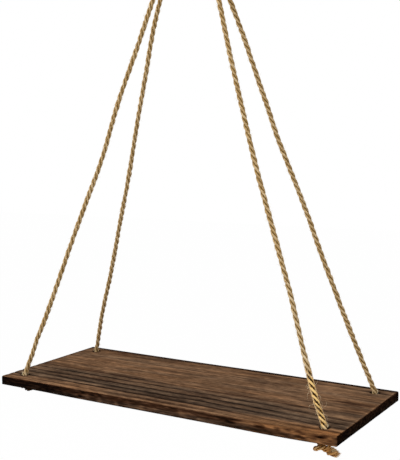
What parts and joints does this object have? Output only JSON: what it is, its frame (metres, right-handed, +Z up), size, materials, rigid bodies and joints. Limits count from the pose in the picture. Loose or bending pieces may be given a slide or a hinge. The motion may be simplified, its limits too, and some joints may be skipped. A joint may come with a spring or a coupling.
{
  "type": "hanging shelf",
  "caption": "Rectangular wooden plank hung level by a jute rope through a hole near each corner; the ropes are gathered on a steel ring on a ceiling hook.",
  "frame": {"origin": "middle of the ceiling plate's top face, where the shelf is fixed to a ceiling", "axes": "+Z up, X along the plank, +Y towards the plank's back edge"},
  "size_m": [0.42, 0.17, 0.6356],
  "materials": {
    "burnt_pine": "pine, scorched and wire brushed along the grain, worn brown at the edges, thin dull wax",
    "jute_rope": "three-strand laid jute rope, golden tan, hairy",
    "jute_twine": "two-ply jute twine, golden tan, hairy",
    "zinc_steel": "zinc-plated steel wire and sheet, satin"
  },
  "bodies": {
    "ceiling_fixing": {"ceiling_plate": "zinc_steel", "ceiling_hook": "zinc_steel"},
    "ring": {"steel_ring": "zinc_steel"},
    "shelf": {"shelf_board": "burnt_pine", "rope_left": "jute_rope", "rope_right": "jute_rope", "knot_front_left": "jute_rope", "knot_back_left": "jute_rope", "knot_front_right": "jute_rope", "knot_back_right": "jute_rope", "twine_binding_left": "jute_twine", "twine_binding_right": "jute_twine"}
  },
  "joints": [
    {"name": "swing_sideways", "type": "hinge", "parent": "ceiling_fixing", "child": "ring", "pos_m": [0, 0, -0.045], "axis": [0, 1, 0], "range_deg": [-30, 30]},
    {"name": "swing_front_back", "type": "hinge", "parent": "ring", "child": "shelf", "pos_m": [0, 0, -0.0728], "axis": [1, 0, 0], "range_deg": [-30, 30]}
  ]
}
